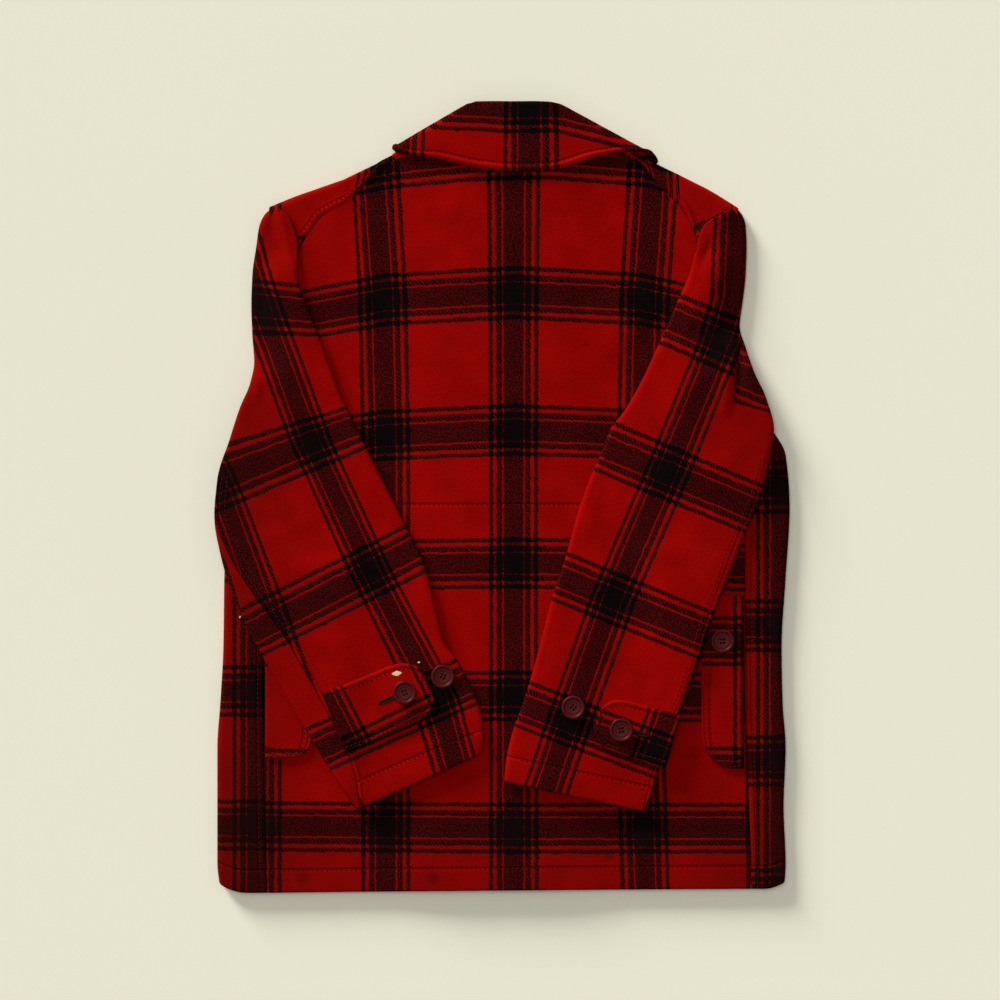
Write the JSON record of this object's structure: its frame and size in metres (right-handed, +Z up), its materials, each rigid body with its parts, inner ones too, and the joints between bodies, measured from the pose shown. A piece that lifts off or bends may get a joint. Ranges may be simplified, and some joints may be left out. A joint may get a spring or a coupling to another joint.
{
  "type": "mackinaw jacket",
  "caption": "Heavy plaid wool hunting jacket with a fold-down collar, back game pocket and buttoned cuff tabs, laid flat face down with its sleeves folded over the back.",
  "frame": {"origin": "bottom centre of the bounding box, on the surface that the jacket lies on", "axes": "+Z up from that surface, +Y from the hem to the collar, +X to the wearer's right; the jacket lies face down, its back up"},
  "size_m": [0.576, 0.7932, 0.0288],
  "materials": {
    "wool_plaid": "thick napped wool, red ground with black plaid",
    "button": "dark burgundy, dull gloss"
  },
  "bodies": {
    "root": {"front_left": "wool_plaid", "sleeve_left_upper": "wool_plaid", "sleeve_left_under": "wool_plaid", "pocket_end_left": "wool_plaid", "cuff_tab_left": "wool_plaid", "front_right": "wool_plaid", "sleeve_right_upper": "wool_plaid", "sleeve_right_under": "wool_plaid", "pocket_end_right": "wool_plaid", "cuff_tab_right": "wool_plaid", "back_panel": "wool_plaid", "collar": "wool_plaid", "button_tab_left": "button", "button_sleeve_left": "button", "button_tab_right": "button", "button_sleeve_right": "button", "button_pocket_right": "button", "button_front_1": "button", "button_front_2": "button", "button_front_3": "button", "button_front_4": "button", "button_front_5": "button"}
  },
  "joints": []
}
